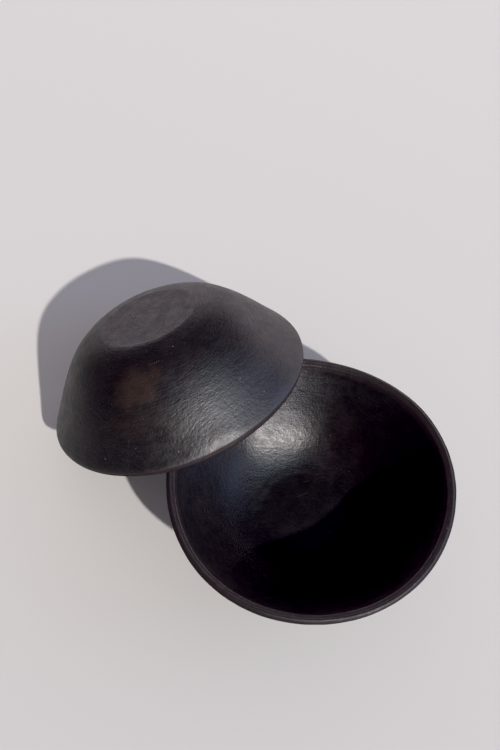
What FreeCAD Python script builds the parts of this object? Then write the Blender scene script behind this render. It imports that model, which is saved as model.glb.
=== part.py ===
"""A pair of hand-formed black clay bowls, each fired in one piece, at rest on a flat surface.

The lower bowl stands upright on its foot. The upper bowl is turned over and leans: its rim
touches the surface at one place and lies across the lower bowl's rim at two others, where a gap
of about 0.3 mm is left. Units are millimetres and degrees. The origin is the centre of the lower
bowl's foot, and +Z is up.
"""
import FreeCAD
import Part

import math
import os
from collections import namedtuple

# One bowl, in its own upright frame: the middle of its foot at the origin, its mouth upwards.
# heel, inner_heel and belly shape the wall: see wall_point.
Bowl = namedtuple("Bowl", "rim_radius height foot_radius floor_radius floor_thickness lip_thickness "
                          "heel inner_heel belly rim_lobes rim_wave foot_lobe foot_shift")
# One way in which a ring is uneven: how many times it repeats round the ring, how large it is as a
# share of the ring's radius, and the angle where it is at its largest.
Lobe = namedtuple("Lobe", "count share angle")

LOWER_BOWL = Bowl(
    rim_radius=75.7,
    height=52.0,
    foot_radius=27.0,
    floor_radius=25.0,
    floor_thickness=5.5,
    lip_thickness=4.8,
    heel=0.12,
    inner_heel=0.17,
    belly=2.3,
    rim_lobes=(Lobe(2, 0.013, -32.0), Lobe(3, 0.0147, 10.0), Lobe(4, 0.009, 38.0)),
    rim_wave=Lobe(2, 0.0, 0.0),
    foot_lobe=Lobe(2, 0.0, 0.0),
    foot_shift=(0.0, 0.0),
)
UPPER_BOWL = LOWER_BOWL._replace(
    rim_radius=74.5,
    height=49.4,
    foot_radius=26.2,
    floor_radius=24.2,
    heel=0.15,
    belly=2.06,
    rim_lobes=(Lobe(2, 0.037, -45.0), Lobe(3, 0.0275, 28.0), Lobe(4, 0.012, -2.0)),
    rim_wave=Lobe(2, 0.021, 60.0),
    foot_lobe=Lobe(2, 0.074, -22.0),
    foot_shift=(-1.9, -0.45),
)

# How the upper bowl lies once it is turned over: its axis leans this far from upright, towards
# this compass angle from +X, and the middle of its rim is here.
LEAN = 25.0
LEAN_TOWARDS = 132.3
RIM_CENTRE = FreeCAD.Vector(-71.5, 70.65, 30.5)

# The bowl's surface is one cubic spline with a ring of poles at each step of the section.
DEGREE = 3
ROUND_POLES = 24
WALL_STEPS = 7
LIP_ANGLES = (0.0, 45.0, 90.0, 135.0, 180.0)


def wall_point(bowl, step, inside):
    """(radius, height) of the wall, from the foot at step 0 to the rim at step 1.

    The wall leaves the foot at a slope that the heel sets, and the belly bends it upwards.
    """
    heel = bowl.inner_heel if inside else bowl.heel
    low = bowl.floor_thickness if inside else 0.0
    foot = bowl.floor_radius if inside else bowl.foot_radius
    rim = bowl.rim_radius - (bowl.lip_thickness if inside else 0.0)
    rise = heel * step + (1.0 - heel) * step ** bowl.belly
    return foot + (rim - foot) * step, low + (bowl.height - low) * rise


def pole_shrink(turn):
    """The size of a cubic spline's circle, when its poles lie on a circle of size 1, this turn apart."""
    return (2.0 + math.cos(math.radians(turn))) / 3.0


def lip_poles(bowl):
    """(radius, height) of the poles of the half circle that joins the wall's two sides."""
    outer_radius, top = wall_point(bowl, 1.0, False)
    half = bowl.lip_thickness / 2.0
    reach = half / pole_shrink(LIP_ANGLES[1] - LIP_ANGLES[0])
    turns = [math.radians(angle) for angle in LIP_ANGLES]
    middle = outer_radius - half
    return [(middle + reach * math.cos(turn), top - half + reach * math.sin(turn)) for turn in turns]


def section_poles(bowl):
    """(radius, height) of the section's poles: up the outside, over the lip, down the inside."""
    steps = [i / WALL_STEPS for i in range(WALL_STEPS)]
    outside = [wall_point(bowl, step, False) for step in steps]
    inside = [wall_point(bowl, step, True) for step in reversed(steps)]
    return outside + lip_poles(bowl) + inside


def unevenness(lobe, turn):
    """A lobe's height at this turn in radians, as a share of the ring's radius."""
    return lobe.share * math.cos(lobe.count * (turn - math.radians(lobe.angle)))


def ring_poles(bowl, radius, height):
    """One ring of poles. Towards the foot it takes the foot's outline, and towards the rim the rim's."""
    out = max(0.0, (radius - bowl.foot_radius) / (bowl.rim_radius - bowl.foot_radius))
    up = height / bowl.height
    is_flat = height in (0.0, bowl.floor_thickness)
    shift_x, shift_y = bowl.foot_shift
    poles = []
    for i in range(ROUND_POLES):
        turn = math.radians(360.0 * i / ROUND_POLES)
        bulge = out * sum(unevenness(lobe, turn) for lobe in bowl.rim_lobes)
        bulge += (1.0 - out) ** 2 * unevenness(bowl.foot_lobe, turn)
        reach = radius * (1.0 + bulge) / pole_shrink(360.0 / ROUND_POLES)
        lift = 0.0 if is_flat else bowl.rim_radius * unevenness(bowl.rim_wave, turn) * up ** 2
        poles.append(FreeCAD.Vector(
            reach * math.cos(turn) + shift_x * (1.0 - up),
            reach * math.sin(turn) + shift_y * (1.0 - up),
            height + lift,
        ))
    return poles


def bowl_wall(bowl):
    """The wall as one spline surface, closed round the bowl, from the foot's edge to the floor's edge."""
    rings = [ring_poles(bowl, radius, height) for radius, height in section_poles(bowl)]
    spans = len(rings) - DEGREE
    wall = Part.BSplineSurface()
    wall.buildFromPolesMultsKnots(
        [list(meridian) for meridian in zip(*rings)],
        [1] * (ROUND_POLES + 1),
        [DEGREE + 1] + [1] * (spans - 1) + [DEGREE + 1],
        list(range(ROUND_POLES + 1)),
        list(range(spans + 1)),
        True,
        False,
        DEGREE,
        DEGREE,
    )
    return wall, (0, spans)


def make_bowl(bowl):
    """The bowl as one closed solid: its wall, its flat foot and its flat floor."""
    wall, ends = bowl_wall(bowl)
    flats = [Part.Face(Part.Wire([wall.vIso(end).toShape()])) for end in ends]
    shell = Part.makeShell([wall.toShape()] + flats)
    shell.sewShape()
    solid = Part.makeSolid(shell)
    if solid.Volume < 0.0:
        solid.reverse()
    return solid


def leaning_placement(bowl):
    """Turns the bowl over, leans it, and puts the middle of its rim at RIM_CENTRE."""
    towards = math.radians(LEAN_TOWARDS)
    lean_axis = FreeCAD.Vector(-math.sin(towards), math.cos(towards), 0.0)
    turned_over = FreeCAD.Rotation(FreeCAD.Vector(1, 0, 0), 180.0)
    rotation = FreeCAD.Rotation(lean_axis, LEAN).multiply(turned_over)
    rim_middle = FreeCAD.Vector(0.0, 0.0, bowl.height)
    return FreeCAD.Placement(RIM_CENTRE - rotation.multVec(rim_middle), rotation)


def main():
    os.makedirs("parts", exist_ok=True)
    lower = make_bowl(LOWER_BOWL)
    upper = make_bowl(UPPER_BOWL)
    upper.Placement = leaning_placement(UPPER_BOWL)
    for name, solid in (("lower_bowl", lower), ("upper_bowl", upper)):
        print(name, "valid", solid.isValid(), "closed", solid.isClosed(), "volume mm3", round(solid.Volume))
        solid.exportStep(f"parts/{name}.step")


main()
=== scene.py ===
"""Two hand-formed, burnished black clay bowls: one upright, and one turned over and leaning on it.

Each bowl is one dense mesh. It follows the same section and outline as its CAD solid, with what the
hand leaves on the clay added on top: an uneven wall, the facets of the burnishing stone, a pinched
lip, a slightly hollow foot and, inside the upright bowl, two shallow swells. Shapes are worked out in
millimetres in the bowl's own upright frame, and go into Blender in metres.
"""
import math
from collections import namedtuple

import bpy
import numpy as np
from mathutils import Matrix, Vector


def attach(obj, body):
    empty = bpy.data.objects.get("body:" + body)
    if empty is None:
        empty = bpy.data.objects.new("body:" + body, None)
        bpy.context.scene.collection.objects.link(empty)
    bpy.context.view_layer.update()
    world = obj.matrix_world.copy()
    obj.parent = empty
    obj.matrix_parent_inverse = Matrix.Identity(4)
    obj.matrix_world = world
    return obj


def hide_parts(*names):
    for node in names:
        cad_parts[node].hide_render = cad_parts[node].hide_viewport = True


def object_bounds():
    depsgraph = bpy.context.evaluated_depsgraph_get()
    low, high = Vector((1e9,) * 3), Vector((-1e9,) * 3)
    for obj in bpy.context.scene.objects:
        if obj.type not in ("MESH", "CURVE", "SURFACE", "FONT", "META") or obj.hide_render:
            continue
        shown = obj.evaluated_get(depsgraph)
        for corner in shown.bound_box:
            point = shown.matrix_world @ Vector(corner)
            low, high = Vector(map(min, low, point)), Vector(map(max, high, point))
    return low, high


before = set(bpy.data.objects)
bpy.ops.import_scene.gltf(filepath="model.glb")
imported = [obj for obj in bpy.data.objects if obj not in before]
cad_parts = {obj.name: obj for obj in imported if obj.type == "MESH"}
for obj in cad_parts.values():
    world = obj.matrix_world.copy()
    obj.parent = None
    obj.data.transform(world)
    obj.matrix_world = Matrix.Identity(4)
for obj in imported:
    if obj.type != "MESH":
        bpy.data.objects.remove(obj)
cad_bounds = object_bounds()

MM = 0.001
UNDER_PIECES = 0.1 * MM   # the floor lies this far down, clear of the relief on the bowls' lowest places

# --------------------------------------------------------------------------------------------------
# The bowls' design, as in the CAD model, in millimetres and degrees
# --------------------------------------------------------------------------------------------------
Bowl = namedtuple("Bowl", "rim_radius height foot_radius floor_radius floor_thickness lip_thickness "
                          "heel inner_heel belly rim_lobes rim_wave foot_lobe foot_shift fire_marks "
                          "swells")
# One way in which a ring is uneven: how many times it repeats round the ring, how large it is as a
# share of the ring's radius, and the angle where it is at its largest.
Lobe = namedtuple("Lobe", "count share angle")
# A brown mark that the fire left on the outside. Its half length runs along X and its half width up
# the wall.
FireMark = namedtuple("FireMark", "centre half_length half_width softness strength")
# A place where a hand left the inside of the wall proud, or hollow where the height is negative.
Swell = namedtuple("Swell", "angle radius half_width half_length height")

LOWER_BOWL = Bowl(
    rim_radius=75.7,
    height=52.0,
    foot_radius=27.0,
    floor_radius=25.0,
    floor_thickness=5.5,
    lip_thickness=4.8,
    heel=0.12,
    inner_heel=0.17,
    belly=2.3,
    rim_lobes=(Lobe(2, 0.013, -32.0), Lobe(3, 0.0147, 10.0), Lobe(4, 0.009, 38.0)),
    rim_wave=Lobe(2, 0.0, 0.0),
    foot_lobe=Lobe(2, 0.0, 0.0),
    foot_shift=(0.0, 0.0),
    fire_marks=(),
    swells=(Swell(74.0, 52.0, 15.0, 28.0, -1.3), Swell(107.0, 48.0, 18.0, 17.0, 1.1)),
)
UPPER_BOWL = LOWER_BOWL._replace(
    rim_radius=74.5,
    height=49.4,
    foot_radius=26.2,
    floor_radius=24.2,
    heel=0.15,
    belly=2.06,
    rim_lobes=(Lobe(2, 0.037, -45.0), Lobe(3, 0.0275, 28.0), Lobe(4, 0.012, -2.0)),
    rim_wave=Lobe(2, 0.021, 60.0),
    foot_lobe=Lobe(2, 0.074, -22.0),
    foot_shift=(-1.9, -0.45),
    fire_marks=(
        FireMark((-3.5, 46.0, 12.0), 12.5, 9.5, 0.45, 1.0),
        FireMark((-6.0, 58.0, 24.0), 15.0, 9.0, 0.8, 0.35),
    ),
    swells=(),
)

# How the upper bowl lies once it is turned over: its axis leans this far from upright, towards this
# compass angle from +X, and the middle of its rim is here.
LEAN = 25.0
LEAN_TOWARDS = 132.3
RIM_CENTRE = (-71.5, 70.65, 30.5)

# Each bowl's seed gives it relief of its own.
LOWER_SEED = 11
UPPER_SEED = 53

# The bowl's surface is one cubic spline with a ring of poles at each step of the section.
DEGREE = 3
ROUND_POLES = 24
WALL_STEPS = 7
LIP_ANGLES = (0.0, 45.0, 90.0, 135.0, 180.0)

# --------------------------------------------------------------------------------------------------
# The mesh's grid
# --------------------------------------------------------------------------------------------------
COLUMNS = 480             # vertices in each ring of the wall; rings nearer the middle have fewer
WALL_ROW = 0.95           # distance between rings on the wall and the flats
LIP_ROW = 0.32            # distance between rings on the lip
LIP_REACH = 1.6           # how far down the lip's finer rings start, in lip thicknesses
SECTION_SAMPLES = 4001    # places at which the section is measured, to space its rings
HALVING_RADIUS = 25.0     # a ring smaller than this has half the vertices, at half this a quarter, ...
FEWEST_COLUMNS = 15


def wall_point(bowl, step, inside):
    """(radius, height) of the wall, from the foot at step 0 to the rim at step 1."""
    heel = bowl.inner_heel if inside else bowl.heel
    low = bowl.floor_thickness if inside else 0.0
    foot = bowl.floor_radius if inside else bowl.foot_radius
    rim = bowl.rim_radius - (bowl.lip_thickness if inside else 0.0)
    rise = heel * step + (1.0 - heel) * step ** bowl.belly
    return foot + (rim - foot) * step, low + (bowl.height - low) * rise


def pole_shrink(turn):
    """The size of a cubic spline's circle whose poles lie this turn apart on a circle of size 1."""
    return (2.0 + math.cos(math.radians(turn))) / 3.0


def section_poles(bowl):
    """(radius, height) of the section's poles: up the outside, over the lip, down the inside."""
    steps = [i / WALL_STEPS for i in range(WALL_STEPS)]
    outside = [wall_point(bowl, step, False) for step in steps]
    inside = [wall_point(bowl, step, True) for step in reversed(steps)]
    half = bowl.lip_thickness / 2.0
    middle = bowl.rim_radius - half
    reach = half / pole_shrink(LIP_ANGLES[1] - LIP_ANGLES[0])
    turns = [math.radians(angle) for angle in LIP_ANGLES]
    top = bowl.height - half
    lip = [(middle + reach * math.cos(turn), top + reach * math.sin(turn)) for turn in turns]
    return outside + lip + inside


def unevenness(lobe, turn):
    """A lobe's height at these turns in radians, as a share of the ring's radius."""
    return lobe.share * np.cos(lobe.count * (turn - math.radians(lobe.angle)))


def pole_grid(bowl):
    """The surface's poles, as rows of rings: an array (rings, ROUND_POLES, 3)."""
    turn = np.radians(360.0 * np.arange(ROUND_POLES) / ROUND_POLES)
    rings = []
    for radius, height in section_poles(bowl):
        out = max(0.0, (radius - bowl.foot_radius) / (bowl.rim_radius - bowl.foot_radius))
        up = height / bowl.height
        is_flat = height in (0.0, bowl.floor_thickness)
        bulge = out * sum(unevenness(lobe, turn) for lobe in bowl.rim_lobes)
        bulge = bulge + (1.0 - out) ** 2 * unevenness(bowl.foot_lobe, turn)
        reach = radius * (1.0 + bulge) / pole_shrink(360.0 / ROUND_POLES)
        lift = 0.0 if is_flat else bowl.rim_radius * unevenness(bowl.rim_wave, turn) * up ** 2
        rings.append(np.stack([
            reach * np.cos(turn) + bowl.foot_shift[0] * (1.0 - up),
            reach * np.sin(turn) + bowl.foot_shift[1] * (1.0 - up),
            height + lift + 0.0 * turn,
        ], axis=-1))
    return np.array(rings)


JUST_INSIDE = 1e-9        # keeps the section's last place inside the spline's last span


def section_weights(places, poles):
    """How much each pole of a clamped cubic spline counts at these places: an array (places, poles)."""
    spans = poles - DEGREE
    knots = np.concatenate([[0.0] * DEGREE, np.arange(spans + 1), [spans] * DEGREE])
    places = np.clip(places, 0.0, spans - JUST_INSIDE)[:, None]
    weights = ((places >= knots[:-1]) & (places < knots[1:])).astype(float)
    for degree in range(1, DEGREE + 1):
        width_left = knots[degree:-1] - knots[:-degree - 1]
        width_right = knots[degree + 1:] - knots[1:-degree]
        left = (places - knots[:-degree - 1]) / np.where(width_left > 0.0, width_left, np.inf)
        right = (knots[degree + 1:] - places) / np.where(width_right > 0.0, width_right, np.inf)
        weights = left * weights[:, :-1] + right * weights[:, 1:]
    return weights


def round_weights(columns):
    """How much each pole of a closed cubic spline counts at evenly spaced places round it."""
    place = np.arange(columns) * ROUND_POLES / columns
    first = np.floor(place).astype(int)
    part = place - first
    shares = (
        (1.0 - part) ** 3 / 6.0,
        (3.0 * part ** 3 - 6.0 * part ** 2 + 4.0) / 6.0,
        (-3.0 * part ** 3 + 3.0 * part ** 2 + 3.0 * part + 1.0) / 6.0,
        part ** 3 / 6.0,
    )
    weights = np.zeros((columns, ROUND_POLES))
    for offset, share in enumerate(shares):
        weights[np.arange(columns), (first + offset - 1) % ROUND_POLES] += share
    return weights


def wall_places(bowl):
    """Places along the section for the wall's rings, closer together on the lip."""
    section = np.array(section_poles(bowl))
    poles = len(section)
    fine = np.linspace(0.0, poles - DEGREE, SECTION_SAMPLES)
    curve = section_weights(fine, poles) @ section
    steps = np.hypot(*np.diff(curve, axis=0).T)
    height = 0.5 * (curve[1:, 1] + curve[:-1, 1])
    lip_start = bowl.height - LIP_REACH * bowl.lip_thickness
    on_lip = np.clip((height - lip_start) / bowl.lip_thickness, 0.0, 1.0)
    rows = np.concatenate([[0.0], np.cumsum(steps / (WALL_ROW + (LIP_ROW - WALL_ROW) * on_lip))])
    return np.interp(np.linspace(0.0, rows[-1], int(rows[-1]) + 1), rows, fine)


# --------------------------------------------------------------------------------------------------
# Relief: what the hand and the burnishing stone leave, as heights in millimetres
# --------------------------------------------------------------------------------------------------
NOISE_CELLS = 32          # the noise repeats after this many features
NOISE_GAIN = 1.6          # brings the noise's peaks to about 1


def noise(points, seed):
    """Smooth noise from about -1 to 1, with features about one unit across."""
    table = np.random.default_rng(seed).uniform(-1.0, 1.0, (NOISE_CELLS,) * 3)
    cell = np.floor(points).astype(int)
    part = points - cell
    fade = part ** 3 * (part * (part * 6.0 - 15.0) + 10.0)
    total = np.zeros(len(points))
    for corner in np.ndindex(2, 2, 2):
        weight = np.prod(np.where(corner, fade, 1.0 - fade), axis=1)
        total += weight * table[tuple(((cell + corner) % NOISE_CELLS).T)]
    return NOISE_GAIN * total


def smooth_step(value, low, high):
    """0 below low, 1 above high, and a smooth change between."""
    part = np.clip((value - low) / (high - low), 0.0, 1.0)
    return part * part * (3.0 - 2.0 * part)


# What is known about each vertex of a bowl: where it is in the bowl's own frame, how far along the
# section it is from the middle of the foot, its angle over the lip (0 outside, 180 inside), its
# distance along the section past the foot's edge and past the floor's edge, and its radius.
Places = namedtuple("Places", "point run lip_turn past_foot past_floor radius")

STROKE_STRETCH = 3.5      # how much longer a burnishing stroke is than wide
STROKE_DRIFT = 9.0        # how far strokes wander off the level, in millimetres
STROKE_DRIFT_SIZE = 42.0


def stroke_coordinates(places, seed):
    """Coordinates in which a burnishing stroke is as long as it is wide. Strokes run round the bowl."""
    drift = STROKE_DRIFT * noise(places.point / STROKE_DRIFT_SIZE, seed)
    along = places.point[:, :2] / STROKE_STRETCH
    return np.column_stack([along, places.run + drift])


def soften(distance, slope, width):
    """How far an edge between two flat stretches that meet at this slope is rounded off."""
    return 0.5 * slope * (np.sqrt(distance ** 2 + width ** 2) - np.abs(distance))


def bump_over(turn, first, last):
    """1 in the middle of this stretch of the lip, falling smoothly to 0 at its ends, in degrees."""
    return np.sin(np.pi * np.clip((turn - first) / (last - first), 0.0, 1.0)) ** 2


# A feature of the lip: its height, and the turns over the lip where it begins and ends. The lip has a
# soft flat band on top, a crisp inner edge, and a fine crease outside.
LipFeature = namedtuple("LipFeature", "height first last")
LIP_BAND = LipFeature(-0.30, 78.0, 150.0)
LIP_INNER_EDGE = LipFeature(0.26, 126.0, 200.0)
LIP_CREASE = LipFeature(-0.10, 50.0, 84.0)
CREASE_UNEVENNESS = 0.9


def lip_shape(turn, uneven):
    """The pinched lip's height over the plain half round."""
    band, inner_edge, crease = (
        feature.height * bump_over(turn, feature.first, feature.last)
        for feature in (LIP_BAND, LIP_INNER_EDGE, LIP_CREASE)
    )
    return band + inner_edge + crease * (1.0 + CREASE_UNEVENNESS * uneven)


INNER_WALL_TURN = 150.0   # past this turn over the lip the surface is the inner wall


def swelling(swells, places):
    """The height of the swells inside the bowl."""
    total = np.zeros(len(places.run))
    angle = np.degrees(np.arctan2(places.point[:, 1], places.point[:, 0]))
    for swell in swells:
        turn = np.radians((angle - swell.angle + 180.0) % 360.0 - 180.0)
        aside = turn * places.radius / swell.half_width
        along = (places.radius - swell.radius) / swell.half_length
        total += swell.height * np.exp(-aside ** 2 - along ** 2)
    return np.where(places.lip_turn > INNER_WALL_TURN, total, 0.0)


# A layer of unevenness: about how large its features are, and how high, in millimetres. Facets and
# stroke ridges are that large across the stroke.
Layer = namedtuple("Layer", "size height")
BROAD_WAVES = Layer(27.0, 0.26)
NARROW_WAVES = Layer(13.0, 0.055)
FACETS = Layer(4.2, -0.022)
STROKE_RIDGES = Layer(2.0, 0.006)
PINCHES = Layer(21.0, 0.12)
FINGER_MARKS = Layer(5.0, 0.035)
LIP_DRIFT_SIZE = 30.0     # over what distance the lip's crease grows and fades
INSIDE_OFFSET = 200.0     # keeps the inside's waves from being the outside's over again

LIP_FADE = (7.0, 3.0)     # from so far below the rim to so far, the wall's relief gives way to the lip's
FOOT_FADE = (-2.0, 3.0)   # from so far past the foot's edge to so far, the foot's relief gives way
FOOT_WAVE_LOSS = 0.75     # the share of the wall's waves that the flat foot lacks
FOOT_FACET_LOSS = 0.8     # and the share of its facets
FOOT_HOLLOW = 0.45        # how deep the foot is hollowed in its middle

FOOT_EDGE_WIDTH = 1.6     # over how much the foot's edge is rounded off
FLOOR_EDGE_WIDTH = 2.0
RING_HEIGHT = 0.16        # a low ridge where the floor meets the wall
RING_PLACE = -1.0
RING_WIDTH = 1.5
RING_UNEVENNESS = 0.8
RING_DRIFT_SIZE = 14.0


def layer_height(points, layer, seed):
    """A layer's height at these points."""
    return layer.height * noise(points / layer.size, seed)


def relief(bowl, places, seed):
    """How far each vertex stands out of the plain shape, in millimetres."""
    inside = places.lip_turn > 90.0
    sides = places.point + INSIDE_OFFSET * inside[:, None]
    strokes = stroke_coordinates(places, seed)
    below_rim = [bowl.height - depth for depth in LIP_FADE]
    on_lip = smooth_step(places.point[:, 2], *below_rim)
    on_foot = 1.0 - smooth_step(places.past_foot, *FOOT_FADE)

    by_hand = layer_height(sides, BROAD_WAVES, seed + 1) + layer_height(sides, NARROW_WAVES, seed + 2)
    facets = FACETS.height * np.abs(noise(strokes / FACETS.size, seed + 3))
    facets = facets + layer_height(strokes, STROKE_RIDGES, seed + 4)
    height = by_hand * (1.0 - FOOT_WAVE_LOSS * on_foot) + facets * (1.0 - FOOT_FACET_LOSS * on_foot)

    pinch = layer_height(places.point, PINCHES, seed + 5)
    pinch = pinch + layer_height(places.point, FINGER_MARKS, seed + 6)
    height = (height + swelling(bowl.swells, places)) * (1.0 - on_lip) + on_lip * pinch
    height += lip_shape(places.lip_turn, noise(places.point / LIP_DRIFT_SIZE, seed + 7))

    foot_slope = bowl.heel * bowl.height / (bowl.rim_radius - bowl.foot_radius)
    floor_slope = bowl.inner_heel * bowl.height / (bowl.rim_radius - bowl.floor_radius)
    height -= soften(places.past_foot, foot_slope, FOOT_EDGE_WIDTH)
    height += soften(places.past_floor, floor_slope, FLOOR_EDGE_WIDTH)
    ring = np.exp(-((places.past_floor - RING_PLACE) / RING_WIDTH) ** 2)
    drift = noise(places.point / RING_DRIFT_SIZE, seed + 9)
    height += RING_HEIGHT * ring * (1.0 + RING_UNEVENNESS * drift)
    hollow = np.clip(1.0 - (places.radius / bowl.foot_radius) ** 2, 0.0, 1.0)
    height -= FOOT_HOLLOW * hollow * on_foot
    return height


# --------------------------------------------------------------------------------------------------
# The bowls' meshes
# --------------------------------------------------------------------------------------------------
Ring = namedtuple("Ring", "points run lip_turn past_foot past_floor")


def columns_at(radius):
    """How many vertices a ring of this radius has."""
    columns = COLUMNS
    limit = HALVING_RADIUS
    while radius < limit and columns > FEWEST_COLUMNS:
        columns //= 2
        limit /= 2.0
    return columns


def flat_rings(edge, run_at_edge, lip_turn, length, foot_side):
    """The rings of a flat disc, from its edge inwards, without the edge itself."""
    centre = edge.mean(axis=0)
    radius = np.linalg.norm(edge - centre, axis=1).mean()
    count = round(radius / WALL_ROW)
    rings = []
    for row in range(1, count):
        share = 1.0 - row / count
        step = COLUMNS // columns_at(radius * share)
        points = centre + (edge[::step] - centre) * share
        inwards = radius * (1.0 - share)
        run = run_at_edge - inwards if foot_side else run_at_edge + inwards
        past_foot = -inwards if foot_side else length
        past_floor = -length if foot_side else inwards
        rings.append(Ring(points, run, lip_turn, past_foot, past_floor))
    return rings, centre


def bowl_rings(bowl):
    """(rings, foot centre, floor centre). Rings run from the foot's middle over the lip to the floor's."""
    poles = pole_grid(bowl)
    places = wall_places(bowl)
    weights = section_weights(places, len(poles))
    grid = np.einsum("pr,rqk,cq->pck", weights, poles, round_weights(COLUMNS))
    section = weights @ np.array(section_poles(bowl))
    half = bowl.lip_thickness / 2.0
    above = section[:, 1] - (bowl.height - half)
    beyond = section[:, 0] - (bowl.rim_radius - half)
    turn = np.degrees(np.arctan2(above, beyond))
    is_outside = np.arange(len(turn)) < int(np.argmax(section[:, 1]))
    turn = np.where(is_outside, np.clip(turn, 0.0, 90.0), np.where(turn < 0.0, 180.0, turn))
    run = np.concatenate([[0.0], np.cumsum(np.hypot(*np.diff(section, axis=0).T))])
    length = run[-1]
    foot_radius = section[0, 0]
    wall = [
        Ring(points, foot_radius + along, lip_turn, along, along - length)
        for points, along, lip_turn in zip(grid, run, turn)
    ]
    foot, foot_centre = flat_rings(grid[0], foot_radius, 0.0, length, True)
    floor, floor_centre = flat_rings(grid[-1], foot_radius + length, 180.0, length, False)
    return foot[::-1] + wall + floor, foot_centre, floor_centre


def ring_faces(rings):
    """Faces of the whole surface. Vertex 0 is the foot's middle, and the last one is the floor's."""
    counts = [len(ring.points) for ring in rings]
    starts = np.concatenate([[1], 1 + np.cumsum(counts)])
    faces = [(0, 1 + (i + 1) % counts[0], 1 + i) for i in range(counts[0])]
    for here, there, a, b in zip(counts, counts[1:], starts, starts[1:]):
        for i in range(min(here, there)):
            j = (i + 1) % min(here, there)
            if here == there:
                faces.append((a + i, a + j, b + j, b + i))
            elif here < there:
                faces.append((a + i, a + j, b + (2 * i + 2) % there, b + 2 * i + 1, b + 2 * i))
            else:
                faces.append((a + 2 * i, a + 2 * i + 1, a + (2 * i + 2) % here, b + j, b + i))
    last = starts[-2]
    end = int(starts[-1])
    faces += [(last + i, last + (i + 1) % counts[-1], end) for i in range(counts[-1])]
    return [tuple(int(v) for v in face) for face in faces]


def bowl_places(rings, foot_centre, floor_centre, bowl):
    """Every vertex's Places, in the order that ring_faces uses."""
    total = rings[-1].run + WALL_ROW
    length = rings[-1].past_foot
    points = np.concatenate([[foot_centre]] + [ring.points for ring in rings] + [[floor_centre]])

    def spread(name, first, last):
        rows = [np.full(len(ring.points), getattr(ring, name)) for ring in rings]
        return np.concatenate([[first]] + rows + [[last]])

    return Places(
        points,
        spread("run", 0.0, total),
        spread("lip_turn", 0.0, 180.0),
        spread("past_foot", -bowl.foot_radius, length),
        spread("past_floor", -length, bowl.floor_radius),
        np.hypot(points[:, 0], points[:, 1]),
    )


def make_bowl(name, bowl, seed, to_frame):
    """The bowl's mesh object, with its relief. to_frame takes local millimetres to the frame's metres."""
    rings, foot_centre, floor_centre = bowl_rings(bowl)
    places = bowl_places(rings, foot_centre, floor_centre, bowl)
    mesh = bpy.data.meshes.new(name)
    mesh.from_pydata(places.point.tolist(), [], ring_faces(rings))
    normals = np.zeros(3 * len(mesh.vertices), np.float32)
    mesh.vertex_normals.foreach_get("vector", normals)
    formed = places.point + normals.reshape(-1, 3) * relief(bowl, places, seed)[:, None]
    mesh.vertices.foreach_set("co", to_frame(formed).astype(np.float32).ravel())
    mesh.shade_smooth()
    mesh.update()
    add_attributes(mesh, bowl, places, seed)
    obj = bpy.data.objects.new(name, mesh)
    bpy.context.scene.collection.objects.link(obj)
    return obj


SMUDGE_EDGE = Layer(6.0, 0.22)    # how a fire mark's edge wanders. Its height is a share of the mark's size


def smudge(marks, places, seed):
    """1 inside a mark on the outside of a bowl, 0 away from it, with an uneven edge."""
    total = np.zeros(len(places.run))
    for mark in marks:
        offset = places.point - np.array(mark.centre)
        along = offset[:, 0] / mark.half_length
        up_wall = np.hypot(offset[:, 1], offset[:, 2]) / mark.half_width
        reach = np.hypot(along, up_wall) + layer_height(places.point, SMUDGE_EDGE, seed)
        total += mark.strength * (1.0 - smooth_step(reach, 1.0 - mark.softness, 1.0 + mark.softness))
    return np.where(places.lip_turn < 90.0, total, 0.0)


# Where the material's masks fade in: distances past the foot's edge and past the floor's, distances
# below the rim, and turns over the lip.
FOOT_MASK = (-3.0, 1.0)
FLOOR_MASK = (-1.0, 3.0)
LIP_MASK = (5.0, 1.8)
EDGE_MASK = (2.9, 1.7)
EDGE_TURNS = (46.0, 74.0)
INSIDE_TURN = 120.0


def add_attributes(mesh, bowl, places, seed):
    """What the clay's material reads: stroke coordinates, and masks for the flats and the lip."""
    strokes = mesh.attributes.new("stroke", "FLOAT_VECTOR", "POINT")
    strokes.data.foreach_set("vector", stroke_coordinates(places, seed).astype(np.float32).ravel())
    on_foot = 1.0 - smooth_step(places.past_foot, *FOOT_MASK)
    on_floor = smooth_step(places.past_floor, *FLOOR_MASK)
    on_lip, on_edge = (
        smooth_step(places.point[:, 2], bowl.height - first, bowl.height - last)
        for first, last in (LIP_MASK, EDGE_MASK)
    )
    masks = {
        "flat": np.maximum(on_foot, on_floor),
        "lip": on_lip,
        "edge": on_edge * (1.0 - smooth_step(places.lip_turn, *EDGE_TURNS)),
        "inside": places.lip_turn > INSIDE_TURN,
        "fire_mark": smudge(bowl.fire_marks, places, seed + 8),
    }
    for label, values in masks.items():
        mask = mesh.attributes.new(label, "FLOAT", "POINT")
        mask.data.foreach_set("value", np.asarray(values, np.float32))


def upright(points):
    """From the lower bowl's own frame to the scene."""
    return points * MM


def turned_over_and_leaning(points):
    """From the upper bowl's own frame to the scene, with the middle of its rim at RIM_CENTRE."""
    towards, lean = math.radians(LEAN_TOWARDS), math.radians(LEAN)
    axis = np.array([-math.sin(towards), math.cos(towards), 0.0])
    cross = np.array([[0.0, -axis[2], axis[1]], [axis[2], 0.0, -axis[0]], [-axis[1], axis[0], 0.0]])
    leaning = np.eye(3) + math.sin(lean) * cross + (1.0 - math.cos(lean)) * cross @ cross
    turned_over = np.diag([1.0, -1.0, -1.0])
    rim_middle = np.array([0.0, 0.0, UPPER_BOWL.height])
    return ((points - rim_middle) @ (leaning @ turned_over).T + np.array(RIM_CENTRE)) * MM


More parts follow.
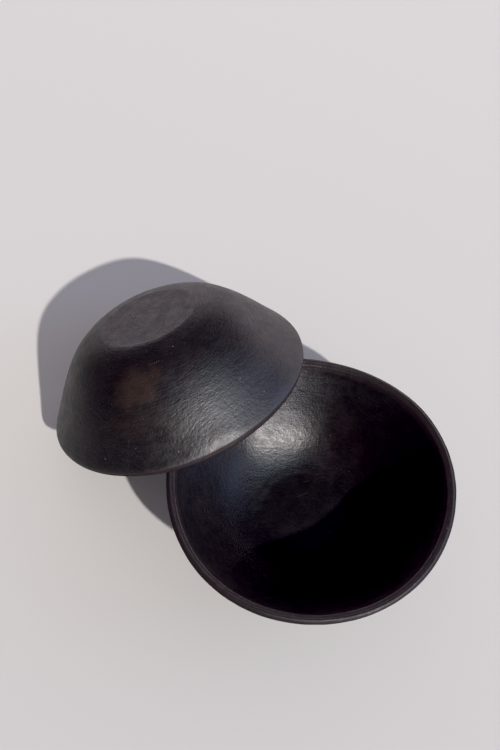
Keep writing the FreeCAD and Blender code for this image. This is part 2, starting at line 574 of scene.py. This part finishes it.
# --------------------------------------------------------------------------------------------------
# Materials
# --------------------------------------------------------------------------------------------------
SPOT_CORE = 0.3           # the part of a spot's radius where it is at its full strength
LINE_FADE = 0.05          # how gradually a patch of lines begins


class Nodes:
    """A material's node tree, with short calls to add nodes to it."""

    def __init__(self, name):
        self.material = bpy.data.materials.new(name)
        self.material.use_nodes = True
        self.tree = self.material.node_tree
        self.shader = self.tree.nodes["Principled BSDF"]

    def add(self, kind, inputs=None, **settings):
        """A new node with these settings and inputs. An input is a value or another node's output."""
        node = self.tree.nodes.new(kind)
        for key, value in settings.items():
            setattr(node, key, value)
        self.set(node, inputs or {})
        return node

    def set(self, node, inputs):
        for key, value in inputs.items():
            if isinstance(value, bpy.types.NodeSocket):
                self.tree.links.new(value, node.inputs[key])
            else:
                node.inputs[key].default_value = value

    def attribute(self, name, output):
        return self.add("ShaderNodeAttribute", attribute_name=name).outputs[output]

    def math(self, operation, *values):
        return self.add("ShaderNodeMath", dict(enumerate(values)), operation=operation).outputs[0]

    def ramp(self, value, low, high, to_low=0.0, to_high=1.0):
        """value from low to high becomes to_low to to_high, smoothly and no further."""
        inputs = {
            "Value": value,
            "From Min": low,
            "From Max": high,
            "To Min": to_low,
            "To Max": to_high,
        }
        return self.add("ShaderNodeMapRange", inputs, interpolation_type="SMOOTHSTEP").outputs[0]

    def noise(self, vector, size, detail=2.0, roughness=0.5):
        """Noise from 0 to 1 with features of about this size, in the vector's own unit."""
        inputs = {"Vector": vector, "Scale": 1.0 / size, "Detail": detail, "Roughness": roughness}
        return self.add("ShaderNodeTexNoise", inputs).outputs["Fac"]

    def spots(self, vector, size, share, radius):
        """1 in the middle of sparse round spots, 0 elsewhere. This share of the cells has a spot."""
        cells = self.add("ShaderNodeTexVoronoi", {"Vector": vector, "Scale": 1.0 / size})
        draw = self.add("ShaderNodeSeparateColor", {"Color": cells.outputs["Color"]}).outputs[0]
        chosen = self.math("LESS_THAN", draw, share)
        near = self.ramp(cells.outputs["Distance"], radius / size, SPOT_CORE * radius / size)
        return self.math("MULTIPLY", near, chosen)

    def lines(self, vector, size, thickness, patches, level):
        """1 along thin lines that wander through the vector's space, where patches is above level."""
        off_middle = self.math("SUBTRACT", self.noise(vector, size, detail=0.0), 0.5)
        on_line = self.ramp(self.math("ABSOLUTE", off_middle), thickness, 0.0)
        return self.math("MULTIPLY", on_line, self.ramp(patches, level, level + LINE_FADE))

    def sum(self, *values):
        """All these added up."""
        total = values[0]
        for value in values[1:]:
            total = self.math("ADD", total, value)
        return total

    def blend(self, share, first, second):
        """The first colour where share is 0, the second where it is 1."""
        inputs = {0: share, 6: first, 7: second}
        return self.add("ShaderNodeMix", inputs, data_type="RGBA").outputs[2]


# The clay's colours
CLAY_BLACK = (0.0036, 0.0024, 0.0038, 1.0)
CLAY_BROWN = (0.0085, 0.0052, 0.0064, 1.0)
LIP_BROWN = (0.0170, 0.0112, 0.0122, 1.0)
FIRE_BROWN = (0.026, 0.0150, 0.0115, 1.0)
# Pale grit specks: partly the grit's own colour, partly painted glints
PALE_GRIT_AND_PAINTED_GLINT = (0.22, 0.21, 0.20, 1.0)
DUST_GREY = (0.035, 0.033, 0.036, 1.0)
LIP_TINT = 0.9            # how much of the lip's own colour it shows
INSIDE_GRIT_AND_GLINT = 0.15        # how much of the pale grit and its painted glints shows inside the bowls

# Where a noise starts to count and where it counts in full
CLOUD_LEVELS = (0.45, 0.75)
FIRE_LEVELS = (0.25, 0.6)
FIRE_STRENGTHS = (0.7, 1.0)
MOTTLE_LEVELS = (0.3, 0.7)
STROKE_LEVELS = (0.35, 0.65)

# The clay's fine relief. Strokes and scratches are this large across the stroke.
CLOUD_SIZE = 30.0
MOTTLE = Layer(7.0, 0.12)
FINE_STROKES = Layer(1.1, 0.09)
WIDE_STROKES = Layer(2.8, 0.07)
GRAIN = Layer(1.05, 0.095)
DENTS = Layer(2.2, 0.11)
FLAT_RELIEF = 0.6         # how much of it the flats have
SCRATCHES = Layer(9.0, -0.06)
SCRATCH_THICKNESS = 0.0060
SCRATCH_PATCH_SIZE = 12.0
SCRATCH_PATCH_LEVEL = 0.56
# Spots: the size of the cells, the share of cells that hold one, its radius and its height. Dust only
# colours the clay.
Spots = namedtuple("Spots", "cell share radius height")
PITS = Spots(4.5, 0.20, 0.50, -0.12)
# Grit: raised specks whose pale colour is partly painted glints
GRIT_AND_GLINT_SPOTS = Spots(4.0, 0.22, 0.34, 0.05)
DUST = Spots(1.5, 0.45, 0.32, 0.0)

# The clay's roughness, and what is added to it where
ROUGHNESS = (0.42, 0.50)
STROKE_ROUGHNESS = 0.03
PIT_ROUGHNESS = 0.3
EDGE_ROUGHNESS = 0.15
FLAT_ROUGHNESS = 0.04
INSIDE_ROUGHNESS = -0.04
CLAY_IOR = 1.47
CLAY_SPECULAR = 0.5
EDGE_SPECULAR = 0.12      # the lip's outer edge is hardly burnished


def clay_spots(nodes, place, spots):
    """1 in the middle of each of these spots."""
    return nodes.spots(place, spots.cell * MM, spots.share, spots.radius * MM)


def clay_colour(nodes, clouds, mottle, masks, dust, grit_and_glints):
    """Black, with brown clouds, a browner lip, the fire marks, grey dust outside and pale grit specks,
    which are partly painted glints.
    """
    scorched = nodes.ramp(mottle, *FIRE_LEVELS, *FIRE_STRENGTHS)
    fire_mark = nodes.math("MULTIPLY", masks["fire_mark"], scorched)
    outside_dust = nodes.math("MULTIPLY", dust, nodes.math("SUBTRACT", 1.0, masks["inside"]))
    # Pale grit specks, partly painted glints, mostly left out inside the bowls
    seen_grit_and_painted_glints = nodes.math("MULTIPLY", grit_and_glints, nodes.ramp(masks["inside"], 0.0, 1.0, 1.0, INSIDE_GRIT_AND_GLINT))
    colour = nodes.blend(nodes.ramp(clouds, *CLOUD_LEVELS), CLAY_BLACK, CLAY_BROWN)
    colour = nodes.blend(nodes.math("MULTIPLY", masks["lip"], LIP_TINT), colour, LIP_BROWN)
    colour = nodes.blend(fire_mark, colour, FIRE_BROWN)
    colour = nodes.blend(outside_dust, colour, DUST_GREY)
    return nodes.blend(seen_grit_and_painted_glints, colour, PALE_GRIT_AND_PAINTED_GLINT)


def clay_material():
    """Low-fired clay, smoked black and rubbed with a stone: dark, with a satin shine and strokes."""
    nodes = Nodes("black_clay")
    place = nodes.add("ShaderNodeTexCoord").outputs["Object"]
    stroke = nodes.attribute("stroke", "Vector")
    labels = ("flat", "lip", "edge", "inside", "fire_mark")
    masks = {label: nodes.attribute(label, "Fac") for label in labels}

    clouds = nodes.noise(place, CLOUD_SIZE * MM, detail=3.0)
    mottle = nodes.noise(place, MOTTLE.size * MM, detail=4.0)
    fine_strokes = nodes.noise(stroke, FINE_STROKES.size, detail=1.0, roughness=0.5)
    wide_strokes = nodes.noise(stroke, WIDE_STROKES.size, detail=1.0)
    grain = nodes.noise(place, GRAIN.size * MM, detail=1.0)
    dents = nodes.noise(place, DENTS.size * MM, detail=2.0, roughness=0.55)
    # The grit spots are small bumps, and their pale colour is partly painted glints
    pits, grit_and_glints, dust = (clay_spots(nodes, place, spots) for spots in (PITS, GRIT_AND_GLINT_SPOTS, DUST))
    patches = nodes.noise(place, SCRATCH_PATCH_SIZE * MM)
    scratches = nodes.lines(stroke, SCRATCHES.size, SCRATCH_THICKNESS, patches, SCRATCH_PATCH_LEVEL)

    rough = nodes.sum(
        nodes.ramp(mottle, *MOTTLE_LEVELS, *ROUGHNESS),
        nodes.ramp(fine_strokes, *STROKE_LEVELS, -STROKE_ROUGHNESS, STROKE_ROUGHNESS),
        nodes.math("MULTIPLY", pits, PIT_ROUGHNESS),
        nodes.math("MULTIPLY", masks["edge"], EDGE_ROUGHNESS),
        nodes.math("MULTIPLY", masks["flat"], FLAT_ROUGHNESS),
        nodes.math("MULTIPLY", masks["inside"], INSIDE_ROUGHNESS),
    )
    unevenness = nodes.sum(
        nodes.sum(
            nodes.math("MULTIPLY", fine_strokes, FINE_STROKES.height),
            nodes.math("MULTIPLY", wide_strokes, WIDE_STROKES.height),
        ),
        nodes.math("MULTIPLY", grain, GRAIN.height),
        nodes.math("MULTIPLY", dents, DENTS.height),
        nodes.math("MULTIPLY", mottle, MOTTLE.height),
    )
    height = nodes.sum(
        nodes.math("MULTIPLY", unevenness, nodes.ramp(masks["flat"], 0.0, 1.0, 1.0, FLAT_RELIEF)),
        nodes.math("MULTIPLY", pits, PITS.height),
        nodes.math("MULTIPLY", grit_and_glints, GRIT_AND_GLINT_SPOTS.height),
        nodes.math("MULTIPLY", scratches, SCRATCHES.height),
    )
    bump = nodes.add("ShaderNodeBump", {"Height": height, "Distance": MM, "Strength": 1.0})

    nodes.set(nodes.shader, {
        "Base Color": clay_colour(nodes, clouds, mottle, masks, dust, grit_and_glints),
        "Roughness": rough,
        "IOR": CLAY_IOR,
        "Specular IOR Level": nodes.ramp(masks["edge"], 0.0, 1.0, CLAY_SPECULAR, EDGE_SPECULAR),
        "Normal": bump.outputs["Normal"],
    })
    return nodes.material


FLOOR_PALE = (0.56, 0.57, 0.55, 1.0)
FLOOR_ROUGHNESS = 0.9


def floor_material():
    """The plain pale floor, without any shine."""
    nodes = Nodes("pale_floor")
    nodes.set(nodes.shader, {
        "Base Color": FLOOR_PALE,
        "Roughness": FLOOR_ROUGHNESS,
        "Specular IOR Level": 0.0,
    })
    return nodes.material


# --------------------------------------------------------------------------------------------------
# Floor, lights and camera
# --------------------------------------------------------------------------------------------------
def make_sheet(name, corners, material):
    """A flat four-sided piece of the stage."""
    mesh = bpy.data.meshes.new(name)
    mesh.from_pydata(corners, [], [(0, 1, 2, 3)])
    mesh.materials.append(material)
    sheet = bpy.data.objects.new(name, mesh)
    bpy.context.scene.collection.objects.link(sheet)
    return sheet


FLOOR_REACH = 8.0         # how far the floor goes each way, in metres


def make_stage():
    """The plain floor."""
    sides = ((-1, -1), (1, -1), (1, 1), (-1, 1))
    corners = [(x * FLOOR_REACH, y * FLOOR_REACH, -UNDER_PIECES) for x, y in sides]
    make_sheet("floor", corners, floor_material())


def direction(azimuth, elevation):
    """The unit vector towards this compass angle from +X and this height above the floor, in degrees."""
    turn, up = math.radians(azimuth), math.radians(elevation)
    return Vector((math.cos(turn) * math.cos(up), math.sin(turn) * math.cos(up), math.sin(up)))


def make_light(name, kind, azimuth, elevation, distance, colour, **settings):
    """A light in this direction from the bowls, shining at them."""
    lamp = bpy.data.lights.new(name, kind)
    lamp.color = colour
    for key, value in settings.items():
        setattr(lamp, key, value)
    light = bpy.data.objects.new(name, lamp)
    towards = direction(azimuth, elevation)
    light.location = (cad_bounds[0] + cad_bounds[1]) / 2.0 + towards * distance
    light.rotation_euler = towards.to_track_quat("Z", "Y").to_euler()
    light.visible_camera = False
    bpy.context.scene.collection.objects.link(light)
    return light


# A softbox: which way it is from the bowls, its size in metres, the brightness that it shows in a
# mirror, its colour, and whether it also lights matt surfaces. The two in front only show in the
# clay's shine: they add no light to the floor or to the shadows on it.
Softbox = namedtuple("Softbox", "name azimuth elevation width height radiance colour lights_matt")
SOFTBOXES = (
    Softbox("front_low_softbox", -60.0, 11.0, 1.6, 1.2, 20.0, (0.97, 0.98, 1.05), False),
    Softbox("front_high_softbox", -30.0, 56.0, 0.9, 1.2, 4.2, (0.64, 0.99, 1.32), False),
    Softbox("side_softbox", 0.0, 18.0, 1.6, 1.9, 2.2, (0.66, 0.92, 1.48), True),
    Softbox("back_right_softbox", 47.0, 11.0, 3.2, 1.2, 2.4, (1.06, 0.92, 0.97), True),
    Softbox("back_left_softbox", 107.0, 11.0, 2.8, 1.2, 2.3, (1.05, 0.91, 0.99), True),
)
SOFTBOX_DISTANCE = 3.0

KEY_AZIMUTH = -56.8
KEY_ELEVATION = 36.2
KEY_DISTANCE = 2.0
KEY_COLOUR = (1.0, 0.93, 0.90)
KEY_STRENGTH = 4.0
KEY_WIDTH = 1.4           # the angle that the key light covers, which softens its shadows

ROOM_COLOUR = (0.96, 0.88, 1.0, 1.0)
ROOM_ON_MATT = 0.34       # how bright the room is on matt surfaces
ROOM_IN_MIRRORS = 0.012   # and in what shiny surfaces reflect


def make_softbox(box):
    """A rectangular soft light that shows its radiance in a mirror."""
    power = box.radiance * math.pi * box.width * box.height
    light = make_light(box.name, "AREA", box.azimuth, box.elevation, SOFTBOX_DISTANCE, box.colour,
                       shape="RECTANGLE", size=box.width, size_y=box.height, energy=power)
    light.visible_diffuse = box.lights_matt


def make_lights():
    """A key light from the front right, the softboxes, and a dim room."""
    make_light("key", "SUN", KEY_AZIMUTH, KEY_ELEVATION, KEY_DISTANCE, KEY_COLOUR,
               energy=KEY_STRENGTH, angle=math.radians(KEY_WIDTH))
    for box in SOFTBOXES:
        make_softbox(box)
    make_room()


def make_room():
    """A dim room, darker in what shiny surfaces reflect than on matt ones."""
    world = bpy.data.worlds.new("room")
    world.use_nodes = True
    world.cycles.sampling_method = "NONE"
    tree = world.node_tree
    rays = tree.nodes.new("ShaderNodeLightPath")
    level = tree.nodes.new("ShaderNodeMapRange")
    level.inputs["To Min"].default_value = ROOM_ON_MATT
    level.inputs["To Max"].default_value = ROOM_IN_MIRRORS
    tree.links.new(rays.outputs["Is Glossy Ray"], level.inputs["Value"])
    background = tree.nodes["Background"]
    background.inputs["Color"].default_value = ROOM_COLOUR
    tree.links.new(level.outputs["Result"], background.inputs["Strength"])
    bpy.context.scene.world = world


BLACK_LEVEL = (0.0035, 0.0046, 0.0032)


def set_contrast():
    """Plain display colours, with the darkest tones shown as black."""
    view = bpy.context.scene.view_settings
    view.view_transform = "Standard"
    view.use_curve_mapping = True
    view.curve_mapping.black_level = BLACK_LEVEL
    view.curve_mapping.update()


CAMERA_PLACE = (-0.0307, -0.1683, 0.4215)    # in metres
CAMERA_PITCH = 58.02      # how far below level the camera looks, in degrees
CAMERA_LENS = 37.2        # in millimetres, on a sensor whose longer side is this wide:
CAMERA_SENSOR = 36.0


def make_camera():
    """The camera looks along +Y and down at the bowls, a little left of the lower bowl's middle."""
    data = bpy.data.cameras.new("camera")
    data.lens = CAMERA_LENS
    data.sensor_width = CAMERA_SENSOR
    camera = bpy.data.objects.new("camera", data)
    camera.location = CAMERA_PLACE
    camera.rotation_euler = (math.radians(90.0 - CAMERA_PITCH), 0.0, 0.0)
    bpy.context.scene.collection.objects.link(camera)
    bpy.context.scene.camera = camera


def main():
    """The camera, the two bowls with what they ride, replace and are made of, the floor and the lights."""
    make_camera()
    clay = clay_material()
    lower = make_bowl("lower_bowl_clay", LOWER_BOWL, LOWER_SEED, upright)
    upper = make_bowl("upper_bowl_clay", UPPER_BOWL, UPPER_SEED, turned_over_and_leaning)
    for piece, node, body in ((lower, "lower_bowl", "lower"), (upper, "upper_bowl", "upper")):
        piece.data.materials.append(clay)
        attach(piece, body)
        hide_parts(node)
    make_stage()
    make_lights()
    set_contrast()


main()
